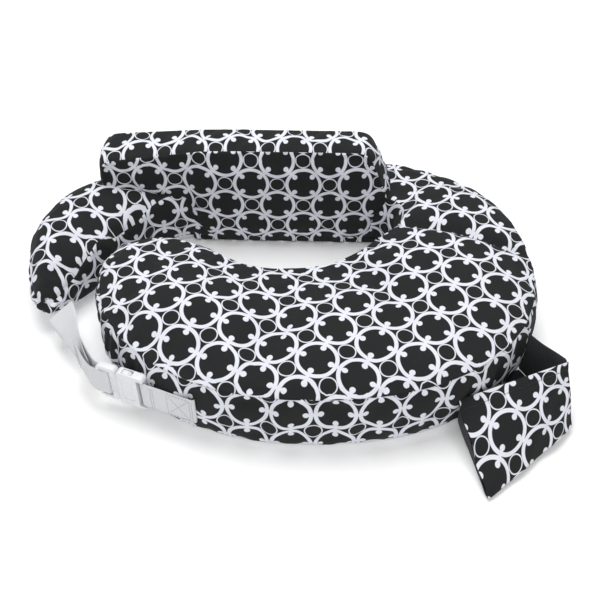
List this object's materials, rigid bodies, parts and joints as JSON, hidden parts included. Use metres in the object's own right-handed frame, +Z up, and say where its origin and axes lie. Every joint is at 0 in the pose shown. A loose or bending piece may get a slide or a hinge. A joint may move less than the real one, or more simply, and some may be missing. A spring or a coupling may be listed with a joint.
{
  "type": "nursing pillow",
  "caption": "C-shaped foam nursing pillow with a raised back support, printed slipcover, side pocket, zip, and a webbing strap with a side-release buckle.",
  "frame": {"origin": "middle of the plan box, on the floor face", "axes": "+Z up, +X to the right seen from the front of the ring, +Y from the front of the ring to the back support"},
  "size_m": [0.6344, 0.4776, 0.155],
  "materials": {
    "foam": "open-cell polyurethane foam",
    "printed_cotton": "woven cotton, black ground with a white ring print",
    "white_cotton": "plain woven cotton",
    "black_lining": "plain woven lining",
    "webbing": "flat woven polypropylene webbing",
    "buckle_plastic": "moulded acetal, satin",
    "zip_tape": "woven zip tape and nylon coil",
    "zip_metal": "die-cast, nickel plated"
  },
  "bodies": {
    "front_ring": {"front_foam": "foam", "front_base_panel": "white_cotton", "front_top_panel": "printed_cotton", "front_outer_band": "printed_cotton", "front_inner_band": "printed_cotton", "front_end_band": "printed_cotton", "pocket_front_panel": "printed_cotton", "pocket_hem": "printed_cotton", "pocket_left_gusset": "black_lining", "pocket_right_gusset": "black_lining", "pocket_floor": "black_lining", "short_strap": "webbing", "buckle_female": "buckle_plastic"},
    "rear_arm": {"rear_foam": "foam", "back_support_foam": "foam", "rear_base_panel": "white_cotton", "rear_top_panel": "printed_cotton", "tail_top_panel": "printed_cotton", "rear_outer_band": "printed_cotton", "rear_inner_band": "printed_cotton", "tail_inner_band": "printed_cotton", "back_support_front_panel": "printed_cotton", "back_support_top_panel": "printed_cotton", "back_support_back_panel": "printed_cotton", "back_support_left_panel": "printed_cotton", "back_support_right_panel": "printed_cotton", "tail_strap": "webbing", "zip_tape_upper": "zip_tape", "zip_tape_lower": "zip_tape", "zip_chain": "zip_tape", "zip_stop_left": "zip_metal", "zip_stop_right": "zip_metal"},
    "buckle_male_half": {"buckle_male": "buckle_plastic", "strap_end_loop": "webbing"},
    "upper_prong": {"buckle_prong_upper": "buckle_plastic"},
    "lower_prong": {"buckle_prong_lower": "buckle_plastic"},
    "zip_slider_body": {"zip_slider": "zip_metal"},
    "zip_pull_body": {"zip_pull": "zip_metal"}
  },
  "joints": [
    {"name": "arm_flex", "type": "hinge", "parent": "front_ring", "child": "rear_arm", "pos_m": [0.297, 0.04504, 0.042], "axis": [0, 0, -1], "range_deg": [0, 6], "stiffness_Nm_per_rad": 6, "deforming": ["tail_strap"]},
    {"name": "buckle_release", "type": "slide", "parent": "front_ring", "child": "buckle_male_half", "axis": [-0.924, 0.3823, 0], "range_m": [0, 0.028], "deforming": ["buckle_prong_upper", "buckle_prong_lower"]},
    {"name": "prong_upper_squeeze", "type": "hinge", "parent": "buckle_male_half", "child": "upper_prong", "pos_m": [-0.17623, -0.12446, 0.0586], "axis": [0.3823, 0.924, 0], "range_deg": [0, 10], "stiffness_Nm_per_rad": 0.4},
    {"name": "prong_lower_squeeze", "type": "hinge", "parent": "buckle_male_half", "child": "lower_prong", "pos_m": [-0.17623, -0.12446, 0.0254], "axis": [-0.3823, -0.924, 0], "range_deg": [0, 10], "stiffness_Nm_per_rad": 0.4},
    {"name": "zip_slide", "type": "slide", "parent": "rear_arm", "child": "zip_slider_body", "axis": [-1, -0.0074, 0], "range_m": [0, 0.228]},
    {"name": "zip_pull_swing", "type": "hinge", "parent": "zip_slider_body", "child": "zip_pull_body", "pos_m": [0.11946, 0.23742, 0.04], "axis": [1, 0.0074, 0], "range_deg": [0, 150]}
  ]
}
